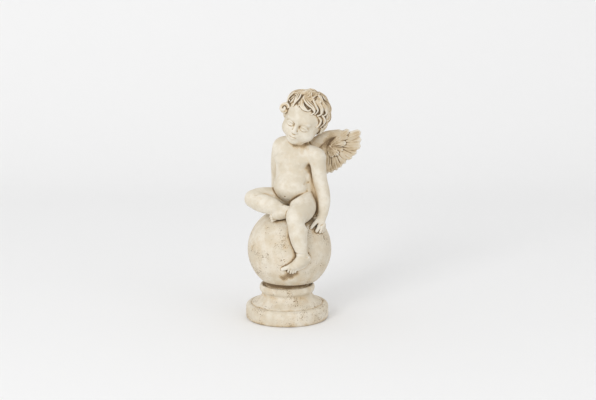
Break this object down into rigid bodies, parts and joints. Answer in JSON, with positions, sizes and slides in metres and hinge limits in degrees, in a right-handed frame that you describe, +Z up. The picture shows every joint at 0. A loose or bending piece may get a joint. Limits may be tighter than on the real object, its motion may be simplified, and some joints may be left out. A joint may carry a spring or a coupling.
{
  "type": "stone putto statue",
  "caption": "Small garden statue of a seated winged putto on a ball, cast in one, standing on a separate turned round plinth.",
  "frame": {"origin": "centre of the plinth's underside, where the statue rests on the ground", "axes": "+Z up, -Y towards the viewer that the statue faces, +X to that viewer's right"},
  "size_m": [0.2539, 0.2619, 0.5028],
  "materials": {
    "figure_stone": "matt cream cast stone, brown patina in the recesses",
    "plinth_stone": "matt cream cast stone with small brown air holes and stains"
  },
  "bodies": {
    "root": {"putto_on_ball": "figure_stone", "plinth": "plinth_stone"}
  },
  "joints": []
}
